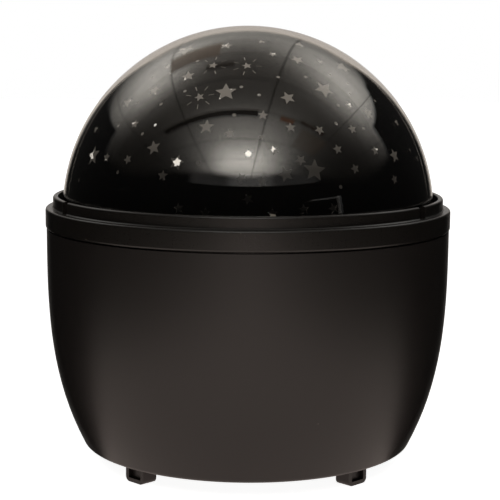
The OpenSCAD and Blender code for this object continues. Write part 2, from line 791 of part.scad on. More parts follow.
module power_inlet() {
    nose = inlet_face_y - inlet_pad_y - 0.2;
    color([0.12, 0.12, 0.13]) translate([0, inlet_pad_y, inlet_z]) union() {
        difference() {
            union() {
                translate([-jack_w / 2, -jack_l, -jack_h / 2]) cube([jack_w, jack_l, jack_h]);
                translate([0, -eps, 0]) rotate([-90, 0, 0]) cylinder(r = jack_nose_r, h = nose + eps);
            }
            translate([0, 2 - jack_l, 0]) rotate([-90, 0, 0]) cylinder(r = inlet_r, h = jack_l + nose);
        }
        translate([0, 1.9 - jack_l, 0]) rotate([-90, 0, 0]) cylinder(r = 1, h = jack_l + nose - 3);
    }
}

// ---------------------------------------------------------------- batteries

module battery_door() {
    color([0.17, 0.16, 0.15]) difference() {
        union() {
            translate([-door_x, -door_y, floor_z]) cube([2 * door_x, 2 * door_y, door_t]);
            for (y = [-tab_y, tab_y])
                translate([-door_x - tab_l, y - tab_w / 2, floor_z + door_t - tab_t])
                    cube([tab_l + eps, tab_w, tab_t]);
            translate([door_x - tongue_in - tongue_t, -tongue_w / 2, floor_z + door_t - eps])
                cube([tongue_t, tongue_w, shelf_t + 0.6]);
        }
        // Thumb recess beside the latch, and grip lines across it
        translate([door_x, 0, floor_z - eps]) cylinder(r = 7, h = 0.8 + eps);
        for (i = [0:3]) translate([door_x - 12 - 2 * i, -7, floor_z - eps]) cube([0.8, 14, 0.5 + eps]);
    }
}

function cell_y(i) = (i - (cell_count - 1) / 2) * cell_pitch;

module battery_cells() {
    tip = 1.2;
    color([0.45, 0.4, 0.3]) for (i = [0:cell_count - 1]) let (s = i % 2 == 0 ? 1 : -1)
        translate([s * (bay_x - plate_t), cell_y(i), cell_z]) rotate([0, -90 * s, 0]) union() {
            cylinder(r = 1.9, h = tip + eps);
            translate([0, 0, tip]) cylinder(r = cell_r, h = cell_l - tip);
        }
}

// Flat contacts on the bay's end walls: two solo ends with solder tabs, and bridging plates
module contact_plates() {
    h = 8;
    module plate(s, y0, y1) {
        translate([s > 0 ? bay_x - plate_t : -bay_x, y0, cell_z - h / 2]) cube([plate_t, y1 - y0, h]);
    }
    half = cell_pitch / 2 - 1;
    color([0.78, 0.76, 0.7]) union() {
        for (i = [0, 2]) plate(-1, cell_y(i) - half, cell_y(i + 1) + half);
        plate(1, cell_y(1) - half, cell_y(2) + half);
        for (i = [0, 3]) {
            plate(1, cell_y(i) - half, cell_y(i) + half);
            translate([bay_x - plate_t, cell_y(i) - 2, cell_z + 3]) cube([plate_t + bay_wall + 2, 4, 0.6]);
        }
    }
}

// Tapered springs press each cell's flat end
module contact_springs() {
    color([0.8, 0.8, 0.78]) for (i = [0:cell_count - 1]) let (s = i % 2 == 0 ? -1 : 1)
        translate([s * (bay_x - plate_t), cell_y(i), cell_z]) rotate([0, -90 * s, 0])
            cylinder(r1 = spring_base_r, r2 = spring_tip_r, h = spring_l);
}

// ---------------------------------------------------------------- leads

lead_r = 0.65;
lead_gap = 0.25;

function unit(v) = v / norm(v);

// A point on the smooth curve through p[i] and p[i + 1]
function smooth(p, i, t) = let (
    a = p[max(0, i - 1)], b = p[i], c = p[i + 1], d = p[min(len(p) - 1, i + 2)]
) 0.5 * (2 * b + (c - a) * t + (2 * a - 5 * b + 4 * c - d) * t * t + (3 * b - a - 3 * c + d) * t * t * t);

// A lead of radius lead_r swept along the points p, with level rings kept from twisting
module lead(p) {
    sides = 8;
    steps = 4;
    line = [for (i = [0:len(p) - 2]) for (k = [0:steps - 1]) smooth(p, i, k / steps), p[len(p) - 1]];
    n = len(line);
    side_ref = unit([0.31, 0.95, 0.02]);
    rings = [for (i = [0:n - 1]) let (
        d = unit(line[min(n - 1, i + 1)] - line[max(0, i - 1)]),
        u = unit(cross(side_ref, d)),
        v = cross(d, u)
    ) [for (k = [0:sides - 1]) line[i] + lead_r * (u * cos(k * 360 / sides) + v * sin(k * 360 / sides))]];
    polyhedron(
        points = [for (r = rings) for (q = r) q],
        faces = concat(
            [[for (k = [0:sides - 1]) k]],
            [[for (k = [0:sides - 1]) (n - 1) * sides + sides - 1 - k]],
            [for (i = [0:n - 2]) for (k = [0:sides - 1]) let (j = (k + 1) % sides)
                each [[i * sides + k, (i + 1) * sides + k, i * sides + j],
                      [i * sides + j, (i + 1) * sides + k, (i + 1) * sides + j]]]
        )
    );
}

// From the control board's inner face up through the deck and the post to the lamp board
module lamp_leads() {
    lead_z = board_z + 0.83 * board_h;
    color([0.7, 0.1, 0.08]) for (s = [-1, 1])
        lead([
            [4 * s, board_y - lead_gap, lead_z], [4 * s, board_y - 6, lead_z],
            [3 * s, board_y - 18, lead_z - 4], [2 * s, 8, deck_z - 8],
            [0, 1.4 * s, deck_z - 2], [0, 1.4 * s, deck_top_z + 3], [0, 1.4 * s, lamp_post_top - lead_gap]
        ]);
}

// From the control board to the motor's terminals
module motor_leads() {
    end_z = deck_z - gearbox_h - motor_h - 3 - lead_gap;
    color([0.1, 0.1, 0.12]) for (s = [-1, 1])
        lead([
            [17 + 2 * s, board_y - lead_gap, board_z + 3 + s], [17 + 2 * s, board_y - 5, board_z + 3 + s],
            [20 + 2 * s, board_y - 22, board_z - 2 + s], [drive_x - 12, 10 + 3 * s, end_z - 6],
            [drive_x, s * motor_r * 0.62, end_z - 4.5], [drive_x, s * motor_r * 0.62, end_z]
        ]);
}

// From the end contacts' solder tabs to the control board
module battery_leads() {
    tab_end = bay_x + bay_wall + 2;
    color([0.7, 0.1, 0.08]) for (i = [0, 3]) let (s = i == 0 ? -1 : 1)
        lead([
            [tab_end + lead_gap, cell_y(i), cell_z + 3.3], [tab_end + 4, cell_y(i), cell_z + 4],
            [tab_end + 3 + s, cell_y(i) + 6, cell_z + 14], [14 + 2 * s, board_y - 20, board_z - 6],
            [9 + 2 * s, board_y - 6, board_z + 3], [9 + 2 * s, board_y - lead_gap, board_z + 3]
        ]);
}

// From the inlet's back to the control board
module inlet_leads() {
    jack_back = inlet_pad_y - jack_l;
    color([0.1, 0.1, 0.12]) for (s = [-1, 1])
        lead([
            [2 * s, jack_back - lead_gap, inlet_z + 3], [2 * s, jack_back - 4, inlet_z + 3],
            [-8 + 2 * s, jack_back - 6, inlet_z + 14], [-17 + 2 * s, board_y - 7, board_z + 3],
            [-17 + 2 * s, board_y - lead_gap, board_z + 3]
        ]);
}

base_housing();
top_ring();
deck_plate();
deck_screws();
dome_shell();
star_mask();
turntable_ring();
lamp_post();
lamp_board();
dome_lamps();
gearbox();
motor();
motor_screws();
drive_pinion();
control_board();
tact_switches();
light_button();
colour_button();
spin_button();
power_inlet();
battery_door();
battery_cells();
contact_plates();
contact_springs();
lamp_leads();
motor_leads();
battery_leads();
inlet_leads();
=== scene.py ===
"""Finishes, light and camera for a star projector: a dark bowl with a turning clear dome over a star mask.

Metres, +Z up, the front faces -Y, and the origin is on the table under the dome's centre.
"""

import math

import bpy
import numpy as np
from bpy.props import FloatProperty, IntProperty, PointerProperty, StringProperty
from mathutils import Matrix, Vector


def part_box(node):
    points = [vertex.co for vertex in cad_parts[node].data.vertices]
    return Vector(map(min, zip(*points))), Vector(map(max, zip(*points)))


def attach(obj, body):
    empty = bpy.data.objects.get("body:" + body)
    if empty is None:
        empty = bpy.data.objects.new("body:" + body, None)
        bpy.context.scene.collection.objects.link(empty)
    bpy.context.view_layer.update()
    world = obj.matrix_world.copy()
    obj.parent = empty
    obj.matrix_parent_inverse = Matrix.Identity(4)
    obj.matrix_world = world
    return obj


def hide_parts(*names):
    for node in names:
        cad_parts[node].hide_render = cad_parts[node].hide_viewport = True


bl_info = {
    "name": "Star Projector Finishes",
    "version": (1, 0, 0),
    "blender": (4, 5, 0),
    "location": "3D View > Sidebar > Projector",
    "description": "Clear dome, star mask, moulded housing, drive, lamps and studio of a star projector",
    "category": "Object",
}

MM = 0.001
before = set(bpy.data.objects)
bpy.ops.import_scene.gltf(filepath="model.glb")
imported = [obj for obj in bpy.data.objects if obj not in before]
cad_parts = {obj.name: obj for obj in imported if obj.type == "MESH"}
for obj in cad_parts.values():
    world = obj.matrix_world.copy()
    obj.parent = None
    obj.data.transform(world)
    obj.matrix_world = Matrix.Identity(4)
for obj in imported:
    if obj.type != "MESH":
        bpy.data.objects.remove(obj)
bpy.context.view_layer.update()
DOME_LOW, DOME_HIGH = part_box("dome_shell")
MASK_LOW, MASK_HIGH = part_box("star_mask")
DOME_R = (DOME_HIGH.x - DOME_LOW.x) / 2
MASK_R = (MASK_HIGH.x - MASK_LOW.x) / 2
DOME_Z = DOME_HIGH.z - DOME_R


# ---------------------------------------------------------------- helpers


def linear(colour):
    """An sRGB hex string as linear red, green, blue and alpha."""
    parts = np.array([int(colour[i : i + 2], 16) for i in (1, 3, 5)]) / 255
    low = parts / 12.92
    high = ((parts + 0.055) / 1.055) ** 2.4
    return (*np.where(parts <= 0.04045, low, high), 1.0)


def shade(colour, share):
    """A hex colour made lighter or darker by a share, as linear red, green, blue and alpha."""
    return [min(1, share * part) for part in linear(colour)[:3]] + [1]


def add(tree, kind, inputs=None, **settings):
    """Adds one node: settings are its attributes, and each input takes a plain value, a socket or a node."""
    node = tree.nodes.new("ShaderNode" + kind)
    for key, value in settings.items():
        setattr(node, key, value)
    for key, value in (inputs or {}).items():
        if isinstance(value, bpy.types.Node):
            value = value.outputs[0]
        if isinstance(value, bpy.types.NodeSocket):
            tree.links.new(value, node.inputs[key])
        else:
            node.inputs[key].default_value = value
    return node


def new_material(name, **sockets):
    """A material with one Principled shader, its plain values set on its own sockets."""
    material = bpy.data.materials.new(name)
    material.use_nodes = True
    tree = material.node_tree
    tree.nodes.clear()
    plain = {key.replace("_", " "): value for key, value in sockets.items()}
    shader = add(tree, "BsdfPrincipled", plain)
    add(tree, "OutputMaterial", {"Surface": shader})
    return material, tree, shader


def link(tree, source, shader, socket):
    """Joins a node's first output, or a socket, to one of the shader's inputs."""
    source = source.outputs[0] if isinstance(source, bpy.types.Node) else source
    tree.links.new(source, shader.inputs[socket])


def piece_from(name, points, faces, material, body, node):
    """A mesh piece from arrays of points and faces, smooth, riding on a body and standing for a node."""
    mesh = bpy.data.meshes.new(name)
    mesh.from_pydata(points, [], faces)
    mesh.polygons.foreach_set("use_smooth", np.ones(len(mesh.polygons), bool))
    mesh.materials.append(material)
    piece = bpy.data.objects.new(name, mesh)
    bpy.context.scene.collection.objects.link(piece)
    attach(piece, body)
    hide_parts(node)
    return piece


def merged(node, grid=1e-7):
    """A CAD node's loose triangles as shared points and faces, with doubles merged on a 0.1 micron grid."""
    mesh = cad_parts[node].data
    points = np.empty(len(mesh.vertices) * 3)
    mesh.vertices.foreach_get("co", points)
    points = points.reshape(-1, 3)
    corners = np.empty(len(mesh.loops), int)
    mesh.loops.foreach_get("vertex_index", corners)
    cells = np.round(points / grid).astype(np.int64)
    _, first, back = np.unique(cells, axis=0, return_index=True, return_inverse=True)
    faces = back.reshape(-1)[corners].reshape(-1, 3)
    a, b, c = faces.T
    return points[first], faces[(a != b) & (b != c) & (c != a)]


def smooth_copy(node, material, body, angle=30):
    """A merged copy of a CAD node, softly shaded, kept sharp at edges steeper than the angle in degrees."""
    points, faces = merged(node)
    piece = piece_from(node + "_skin", points, faces, material, body, node)
    piece.data.set_sharp_from_angle(angle=math.radians(angle))
    weigh = piece.modifiers.new("weigh_normals", "WEIGHTED_NORMAL")
    weigh.keep_sharp = True
    weigh.mode = "FACE_AREA_WITH_ANGLE"


def paint(material, *nodes):
    """Gives CAD nodes a material."""
    for node in nodes:
        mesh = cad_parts[node].data
        mesh.materials.clear()
        mesh.materials.append(material)


# ---------------------------------------------------------------- finishes

# Grain of the eroded tool, drawn at 0.35 mm because the real 0.1 mm is too fine to show
SPARK = 0.35 * MM
SPARK_DEPTH = 0.03 * MM
# Slow change of tone over a large moulding
MELT_FLOW = 38 * MM
# Dust: size of its cells, and where a speck stops being full and where it ends, as shares of a cell
DUST_CELL = 1.9 * MM
SPECK_FULL, SPECK_EDGE = 0.07, 0.16
# Waves of a thin clear moulding
WAVE = 16 * MM
WAVE_DEPTH = 0.05 * MM
# Clouding of plain mouldings and of extruded sleeves, and the soft dimples of their skin
CLOUD = 6 * MM
LEAD_CLOUD = 3 * MM
DIMPLE = 0.5 * MM
DIMPLE_DEPTH = 0.01 * MM
# Drawn lines on plated parts, and how much longer than wide they are
DRAWN_LINE = 0.3 * MM
DRAWN_STRETCH = 20
# Tracks of the control board, which stands upright
TRACK_PITCH = 1.27 * MM
TRACK_RUN = 5.08 * MM
TRACK_GAP = 0.25 * MM
TRACK_DEPTH = 0.04 * MM
# A cell's copper band and bare steel end, from its end inward
CELL_BAND = 11 * MM
CELL_END = 1.4 * MM
# Where the pale foot of a lamp begins to fade and ends, from the dome's centre up
LAMP_FOOT, LAMP_CLEAR = -1.4 * MM, 1.6 * MM
# Painted glow inside the mask, standing in for stray light: where it begins and is full, from the dome's
# centre up, and its strength there
PAINTED_GLOW_LOW, PAINTED_GLOW_HIGH = 10 * MM, 55 * MM
PAINTED_GLOW_DIM, PAINTED_GLOW_FULL = 0.02, 0.25


def spark_plastic(name, colour, roughness, dust):
    """ABS, moulded in a spark-eroded tool: an even dark grey broken by fine grain and faint dust."""
    material, tree, shader = new_material(name, IOR=1.54)
    place = add(tree, "TexCoord").outputs["Object"]
    sparks = add(tree, "TexNoise", {"Vector": place, "Scale": 1 / SPARK, "Detail": 3.0, "Roughness": 0.6})
    flow = add(tree, "TexNoise", {"Vector": place, "Scale": 1 / MELT_FLOW, "Detail": 2.0})
    tone = add(tree, "Mix", {0: flow, 6: shade(colour, 0.88), 7: shade(colour, 1.1)}, data_type="RGBA")
    # Dust: the given share of the cells holds a pale speck, some fainter than others
    cells = add(tree, "TexVoronoi", {"Vector": place, "Scale": 1 / DUST_CELL}, feature="F1")
    near = add(tree, "MapRange", {
        0: cells.outputs["Distance"], 1: SPECK_EDGE, 2: SPECK_FULL, 3: 0.0, 4: 1.0,
    })
    pick = add(tree, "SeparateColor", {0: cells.outputs["Color"]})
    rare = add(tree, "Math", {0: pick.outputs[0], 1: 1 - dust}, operation="GREATER_THAN")
    speck = add(tree, "Math", {0: near, 1: rare}, operation="MULTIPLY")
    fade = add(tree, "Math", {0: speck, 1: pick.outputs[1]}, operation="MULTIPLY")
    dusty = add(tree, "Mix", {0: fade, 6: tone.outputs[2], 7: linear("#8a847a")}, data_type="RGBA")
    link(tree, dusty.outputs[2], shader, "Base Color")
    rough = add(tree, "MapRange", {
        0: sparks.outputs["Fac"], 1: 0.3, 2: 0.7, 3: roughness - 0.06, 4: roughness + 0.06,
    })
    link(tree, rough, shader, "Roughness")
    bump = add(tree, "Bump", {"Height": sparks.outputs["Fac"], "Distance": SPARK_DEPTH, "Strength": 0.55})
    link(tree, bump, shader, "Normal")
    return material


def clear_acrylic(name, tint, roughness):
    """Polished moulded acrylic: clear, faintly warm at its edge, with the slow waves of a thin moulding."""
    material, tree, shader = new_material(
        name, Base_Color=linear(tint), Roughness=roughness, IOR=1.49, Transmission_Weight=1.0
    )
    place = add(tree, "TexCoord").outputs["Object"]
    waves = add(tree, "TexNoise", {"Vector": place, "Scale": 1 / WAVE, "Detail": 1.0})
    bump = add(tree, "Bump", {"Height": waves.outputs["Fac"], "Distance": WAVE_DEPTH, "Strength": 0.12})
    link(tree, bump, shader, "Normal")
    return material


def mask_film(name, outside, inside, roughness, film):
    """Thermoformed black polystyrene: glossy outside, and a duller grey inside, where a painted glow stands
    in for stray light.
    """
    # The emission colour is for the painted glow on the mask's inner face
    material, tree, shader = new_material(name, IOR=1.55, Emission_Color=linear("#fff6ea"))
    place = add(tree, "TexCoord").outputs["Object"]
    arm = add(tree, "VectorMath", {0: place, 1: (0, 0, DOME_Z)}, operation="DISTANCE")
    # From the inner face to the outer one the finish changes over a third of the film's thickness each way
    middle, blend = MASK_R - film / 2, film / 3
    out = add(tree, "MapRange", {
        0: arm.outputs["Value"], 1: middle - blend, 2: middle + blend, 3: 0.0, 4: 1.0,
    })
    tone = add(tree, "Mix", {0: out, 6: linear(inside), 7: linear(outside)}, data_type="RGBA")
    link(tree, tone.outputs[2], shader, "Base Color")
    gloss = add(tree, "MapRange", {0: out, 1: 0.0, 2: 1.0, 3: 0.5, 4: roughness})
    link(tree, gloss, shader, "Roughness")
    # Painted glow on the inner face, standing in for room light that comes in through the windows, stronger
    # in the upper half
    height = add(tree, "SeparateXYZ", {0: place}).outputs[2]
    glow_by_height = add(tree, "MapRange", {
        0: height, 1: DOME_Z + PAINTED_GLOW_LOW, 2: DOME_Z + PAINTED_GLOW_HIGH, 3: PAINTED_GLOW_DIM, 4: PAINTED_GLOW_FULL,
    })
    inner = add(tree, "Math", {0: 1.0, 1: out}, operation="SUBTRACT")
    painted_glow = add(tree, "Math", {0: glow_by_height, 1: inner}, operation="MULTIPLY")
    link(tree, painted_glow, shader, "Emission Strength")
    return material


def moulded_plastic(name, colour, roughness, cloud=CLOUD, spread=0.08):
    """Plain moulded plastic: one colour with the slight clouding and soft dimples of the melt's flow."""
    material, tree, shader = new_material(name, IOR=1.5)
    place = add(tree, "TexCoord").outputs["Object"]
    flow = add(tree, "TexNoise", {"Vector": place, "Scale": 1 / cloud, "Detail": 4.0})
    dark, light = shade(colour, 1 - spread), shade(colour, 1 + spread)
    tone = add(tree, "Mix", {0: flow, 6: dark, 7: light}, data_type="RGBA")
    link(tree, tone.outputs[2], shader, "Base Color")
    rough = add(tree, "MapRange", {0: flow.outputs["Fac"], 3: roughness - 0.05, 4: roughness + 0.07})
    link(tree, rough, shader, "Roughness")
    fine = add(tree, "TexNoise", {"Vector": place, "Scale": 1 / DIMPLE, "Detail": 2.0})
    bump = add(tree, "Bump", {"Height": fine.outputs["Fac"], "Distance": DIMPLE_DEPTH, "Strength": 0.4})
    link(tree, bump, shader, "Normal")
    return material


def plated_metal(name, colour, roughness):
    """Zinc or nickel plate on steel: grey metal with fine drawn lines and slightly uneven gloss."""
    material, tree, shader = new_material(name, Metallic=1.0)
    place = add(tree, "TexCoord").outputs["Object"]
    drawn = add(tree, "Mapping", {"Vector": place, "Scale": (1.0, 1.0, 1 / DRAWN_STRETCH)})
    lines = add(tree, "TexNoise", {"Vector": drawn, "Scale": 1 / DRAWN_LINE, "Detail": 2.0})
    tone = add(tree, "Mix", {0: lines, 6: shade(colour, 0.85), 7: shade(colour, 1.1)}, data_type="RGBA")
    link(tree, tone.outputs[2], shader, "Base Color")
    rough = add(tree, "MapRange", {0: lines.outputs["Fac"], 3: roughness - 0.08, 4: roughness + 0.1})
    link(tree, rough, shader, "Roughness")
    return material


def lamp_epoxy(name):
    """Cast epoxy lamps: one quarter each of warm white, green, red and blue, tinted and glossy."""
    material, tree, shader = new_material(name, Roughness=0.08, IOR=1.53)
    place = add(tree, "TexCoord").outputs["Object"]
    axes = add(tree, "SeparateXYZ", {0: place})
    right = add(tree, "Math", {0: axes.outputs[0], 1: 0.0}, operation="GREATER_THAN")
    back = add(tree, "Math", {0: axes.outputs[1], 1: 0.0}, operation="GREATER_THAN")
    front_pair = add(tree, "Mix", {0: right, 6: linear("#d9d2b4"), 7: linear("#3f9a4c")}, data_type="RGBA")
    back_pair = add(tree, "Mix", {0: right, 6: linear("#b33a2c"), 7: linear("#3a5fb0")}, data_type="RGBA")
    tint = add(tree, "Mix", {0: back, 6: front_pair.outputs[2], 7: back_pair.outputs[2]}, data_type="RGBA")
    # The pale rim where the chip's cup shows through the foot of each lamp
    foot = add(tree, "MapRange", {
        0: axes.outputs[2], 1: DOME_Z + LAMP_FOOT, 2: DOME_Z + LAMP_CLEAR, 3: 0.6, 4: 0.0,
    })
    cup = add(tree, "Mix", {0: foot, 6: tint.outputs[2], 7: linear("#e8e2cc")}, data_type="RGBA")
    link(tree, cup.outputs[2], shader, "Base Color")
    return material


def circuit_laminate(name):
    """Glass-epoxy laminate under green solder mask: tracks show as paler lines on a 1.27 mm pitch."""
    material, tree, shader = new_material(name, Roughness=0.35, IOR=1.5)
    axes = add(tree, "SeparateXYZ", {0: add(tree, "TexCoord").outputs["Object"]})
    upright = add(tree, "CombineXYZ", {0: axes.outputs[0], 1: axes.outputs[2], 2: 0.0})
    tracks = add(tree, "TexBrick", {
        "Vector": upright, "Color1": linear("#1c5a2e"), "Color2": linear("#16492a"),
        "Mortar": linear("#3a7d48"), "Scale": 1.0, "Mortar Size": TRACK_GAP, "Brick Width": TRACK_RUN,
        "Row Height": TRACK_PITCH,
    })
    link(tree, tracks.outputs["Color"], shader, "Base Color")
    bump = add(tree, "Bump", {"Height": tracks.outputs["Fac"], "Distance": TRACK_DEPTH, "Strength": 0.5})
    link(tree, bump, shader, "Normal")
    return material


def cell_sleeve(name, sleeve, band, half):
    """Cells in a printed shrink sleeve, plain and unmarked: dark body, copper bands, bare steel ends."""
    material, tree, shader = new_material(name, Roughness=0.3, IOR=1.5)
    axes = add(tree, "SeparateXYZ", {0: add(tree, "TexCoord").outputs["Object"]})
    reach = add(tree, "Math", {0: axes.outputs[0]}, operation="ABSOLUTE")
    stripe = add(tree, "Math", {0: reach, 1: half - CELL_BAND}, operation="GREATER_THAN")
    tone = add(tree, "Mix", {0: stripe, 6: linear(sleeve), 7: linear(band)}, data_type="RGBA")
    ends = add(tree, "Math", {0: reach, 1: half - CELL_END}, operation="GREATER_THAN")
    steel = add(tree, "Mix", {0: ends, 6: tone.outputs[2], 7: linear("#b5b3ad")}, data_type="RGBA")
    link(tree, steel.outputs[2], shader, "Base Color")
    link(tree, ends, shader, "Metallic")
    return material


def lead_sleeve(name, colour):
    """Extruded PVC sleeve on a thin lead: satin, with slight clouding."""
    return moulded_plastic(name, colour, 0.45, cloud=LEAD_CLOUD, spread=0.12)


# ---------------------------------------------------------------- settings


class ProjectorStage(bpy.types.PropertyGroup):
    """Camera, floor and studio light."""

    camera_back: FloatProperty(
        name="Back", description="Camera's distance in front", default=0.470, unit="LENGTH"
    )
    camera_height: FloatProperty(
        name="Height", description="Camera's height", default=0.1342, unit="LENGTH"
    )
    pitch: FloatProperty(
        name="Pitch", description="How far the camera looks down", default=0.14, unit="ROTATION"
    )
    roll: FloatProperty(
        name="Roll", description="How far the camera is turned about its axis", default=0.007, unit="ROTATION"
    )
    lens: FloatProperty(name="Lens", description="Focal length in millimetres", default=105.07)
    shift: FloatProperty(name="Shift", description="Sideways shift of the frame", default=0.0047)
    floor: FloatProperty(name="Floor", description="Half width of the floor", default=3.0, unit="LENGTH")


class ProjectorDome(bpy.types.PropertyGroup):
    """Sizes and colours of the clear dome and the mask under it."""

    shell_wall: FloatProperty(
        name="Shell wall", description="Thickness of the clear dome", default=1.6 * MM, unit="LENGTH"
    )
    mask_wall: FloatProperty(
        name="Mask wall", description="Thickness of the star mask", default=0.8 * MM, unit="LENGTH"
    )
    film: FloatProperty(
        name="Film", description="Thickness that the mask shows", default=0.3 * MM, unit="LENGTH"
    )
    rows: IntProperty(name="Rows", description="Rows of faces from the dome's edge to its top", default=72)
    turns: IntProperty(name="Columns", description="Faces round the dome", default=240)
    tint: StringProperty(
        name="Tint", description="Colour of the clear plastic, as sRGB hex", default="#f8f4ee"
    )
    mask_colour: StringProperty(
        name="Mask", description="Colour of the mask outside, as sRGB hex", default="#0b0a0a"
    )
    inner_colour: StringProperty(
        name="Mask inside", description="Colour of the mask inside, as sRGB hex", default="#2b2927"
    )
    gloss: FloatProperty(
        name="Mask roughness", description="Roughness of the mask's outer face", default=0.03,
        min=0, max=1, subtype="FACTOR",
    )


class ProjectorHousing(bpy.types.PropertyGroup):
    """Colour and texture of the bowl, ring, door and buttons."""

    bowl: StringProperty(name="Bowl", description="Colour of the bowl, as sRGB hex", default="#201c1b")
    ring: StringProperty(name="Ring", description="Colour of the ring, as sRGB hex", default="#1d1a18")
    button: StringProperty(
        name="Buttons", description="Colour of the buttons, as sRGB hex", default="#242220"
    )
    roughness: FloatProperty(
        name="Roughness", description="Roughness of the moulded housing", default=0.38,
        min=0, max=1, subtype="FACTOR",
    )


# ---------------------------------------------------------------- room

# Soft lights: azimuth from the front and elevation in degrees, spread in degrees, strength
LIGHTS = [
    (-15, 35, 7, 2.1), (0, 36, 7, 2.3), (13, 35, 7, 1.1), (-20, 48, 13, 0.80), (14, 48, 13, 0.75),
    (-128, 44, 10, 1.25), (-152, 38, 9, 0.6), (118, 44, 11, 1.2), (143, 44, 11, 0.7), (180, 38, 14, 0.25),
]
# Dark flags and walls round the table, in degrees: azimuth from the front, top edge, softness of that edge
SCREENS = [
    (-180, 10, 5), (-150, 18, 5), (-134, 23, 1), (-114, 27, 1), (-112, 18, 3), (-80, 18, 6), (-50, 25, 4),
    (-25, 28, 3), (0, 26.5, 2.5), (25, 28, 3), (50, 22, 5), (80, 17, 6), (109, 19, 3), (111, 31, 1),
    (142, 29.5, 1), (158, 22, 4), (180, 10, 5),
]
# Pale things on the dark walls, in degrees: left and right azimuth, low and high edge; then brightness, and
# softness of the sides in radians
WALLS = [
    (-34, 42, 21.6, 40, 0.10, 0.12),
    (-9, 12, 21.6, 40, 0.22, 0.12),
    (39, 58, 11.4, 11.9, 0.15, 0.01),
    (57, 58.5, 3, 12, 0.20, 0.01),
]
WALL_EDGE = 0.006
# The walls' own brightness at the table's level and at their top, and the top's height in radians
WALL_LOW, WALL_HIGH = 0.006, 0.015
WALL_TOP = 0.5
# Things under the ceiling, on a plane one unit up, squared to its tiles: left, right, front, back, colour,
# and how much of the ceiling's light they cover
CEILING = [
    (-0.99, 0.12, -0.445, -0.36, "#26221f", 0.9),
    (0.59, 0.95, -0.37, -0.335, "#3a1c10", 0.8),
    (0.36, 0.51, -0.44, -0.375, "#96603f", 0.75),
    (0.65, 1.10, -0.83, -0.45, "#7d6c5a", 0.35),
    (-0.64, -0.25, 0.56, 0.97, "#8a7c70", 0.85),
    (-0.33, -0.13, 0.275, 0.37, "#453f3a", 0.8),
]
FIXTURE_EDGE = 0.008
# Tiles on the same plane: pitch and first line each way, and how far they are turned
TILE = (0.86, 0.46)
TILE_START = (0.215, 0.09)
TILE_TURN = 0.078
# Their lines: half width, soft edge, and how much of the light they leave
LINE_HALF, LINE_EDGE, LINE_SHADE = 0.004, 0.014, 0.55
# Rays that rise less than this meet the plane where a ray that rises so much would
LEAST_RISE = 0.05
# Plain ceiling: its brightness where it meets the walls and overhead, and those heights in radians
CEILING_DIM, CEILING_BRIGHT = 0.035, 0.17
CEILING_LOW, CEILING_HIGH = 0.35, 1.2
# White card behind the object, margin and middle: half width as a share of its distance, top edge in radians,
# colour. The windows show the middle, and the dome's clear edge bends the margin into view.
CARD = [(0.36, 0.40, "#bcb5ae"), (0.18, 0.05, "#ffffff")]
# How soft the card's sides and top are
CARD_SIDE, CARD_TOP = 0.04, 0.1


def between(tree, value, low, high, soft):
    """1 where the value lies between low and high, falling to 0 over the soft width outside them."""
    middle, half = (low + high) / 2, (high - low) / 2
    away = add(tree, "Math", {0: value, 1: middle}, operation="SUBTRACT")
    away = add(tree, "Math", {0: away}, operation="ABSOLUTE")
    return add(tree, "MapRange", {
        0: away, 1: half, 2: half + soft, 3: 1.0, 4: 0.0,
    }, interpolation_type="SMOOTHSTEP")


def plain_ceiling(tree, height):
    """The ceiling's own glow, which dims from overhead to the walls."""
    dim = add(tree, "MapRange", {
        0: height, 1: CEILING_LOW, 2: CEILING_HIGH, 3: CEILING_DIM, 4: CEILING_BRIGHT,
    }, interpolation_type="SMOOTHSTEP")
    return add(tree, "VectorMath", {0: linear("#fff9f0")[:3], "Scale": dim}, operation="SCALE")


def soft_lights(tree, ray, glow):
    """Adds each light: its strength times e to the power (cosine of the angle to it - 1) / spread squared."""
    for azimuth, elevation, spread, strength in LIGHTS:
        a, e = math.radians(azimuth), math.radians(elevation)
        centre = (math.sin(a) * math.cos(e), -math.cos(a) * math.cos(e), math.sin(e))
        dot = add(tree, "VectorMath", {0: ray, 1: centre}, operation="DOT_PRODUCT")
        sharp = 1 / math.radians(spread) ** 2
        power = add(tree, "Math", {0: dot.outputs["Value"], 1: sharp, 2: -sharp}, operation="MULTIPLY_ADD")
        lobe = add(tree, "Math", {0: power}, operation="EXPONENT")
        bright = [strength * part for part in linear("#fffdf8")[:3]]
        light = add(tree, "VectorMath", {0: bright, "Scale": lobe}, operation="SCALE")
        glow = add(tree, "VectorMath", {0: glow, 1: light}, operation="ADD")
    return glow


